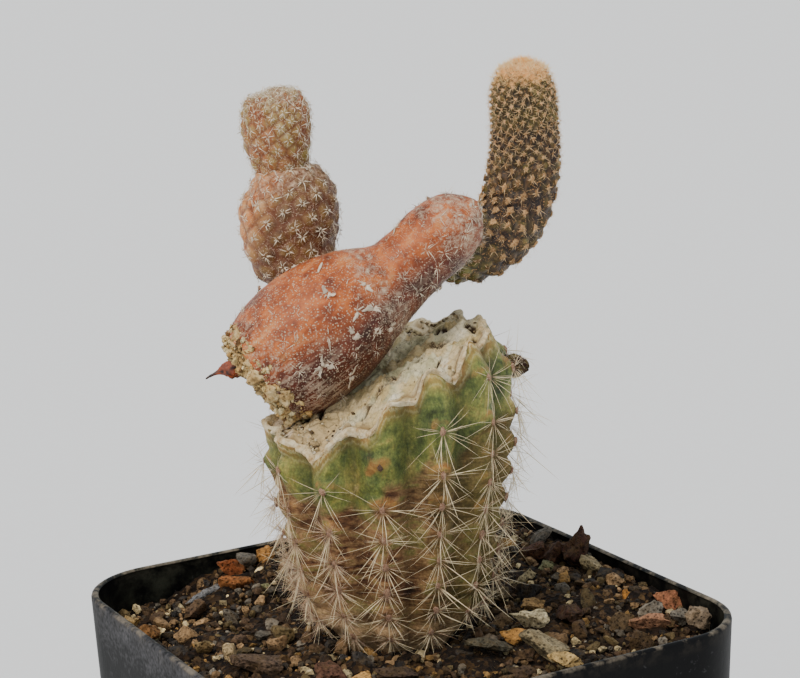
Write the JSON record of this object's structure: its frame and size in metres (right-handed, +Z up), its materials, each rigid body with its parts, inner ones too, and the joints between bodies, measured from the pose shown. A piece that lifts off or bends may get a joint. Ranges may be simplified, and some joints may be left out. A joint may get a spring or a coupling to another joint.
{
  "type": "potted grafted cactus",
  "caption": "Small square plastic pot of gritty soil with a ribbed spiny rootstock, cut and callused on top, that carries a reclining club-shaped cactus segment with branches.",
  "frame": {"origin": "centre of the pot's flat underside", "axes": "+Z up, X and Y square to the pot's sides"},
  "size_m": [0.06, 0.06, 0.1173],
  "materials": {
    "pot_plastic": "thin black moulded plastic, slightly glossy, dusty near the rim",
    "grit_soil": "mixed mineral grit and dark compost, dry and matt",
    "stock_skin": "green waxy skin that turns to tan bark lower down, with pale straw spines",
    "callus_cork": "dry pale corky callus, cracked and matt",
    "scion_skin": "reddish-brown satin skin with white papery flakes and spine clusters",
    "branch_skin": "brown to olive skin in tubercles with pale areoles and spines",
    "cork": "crumbly yellowish cork, matt",
    "dry_root": "dry reddish root",
    "dry_bud": "withered bud with wool, matt"
  },
  "bodies": {
    "root": {"pot": "pot_plastic", "soil": "grit_soil", "rootstock": "stock_skin", "rootstock_callus": "callus_cork", "scion_main_segment": "scion_skin", "scion_base_cork": "cork", "scion_root_stub": "dry_root", "scion_left_lower_segment": "branch_skin", "scion_left_upper_segment": "branch_skin", "scion_right_segment": "branch_skin", "withered_flower_bud": "dry_bud"}
  },
  "joints": []
}
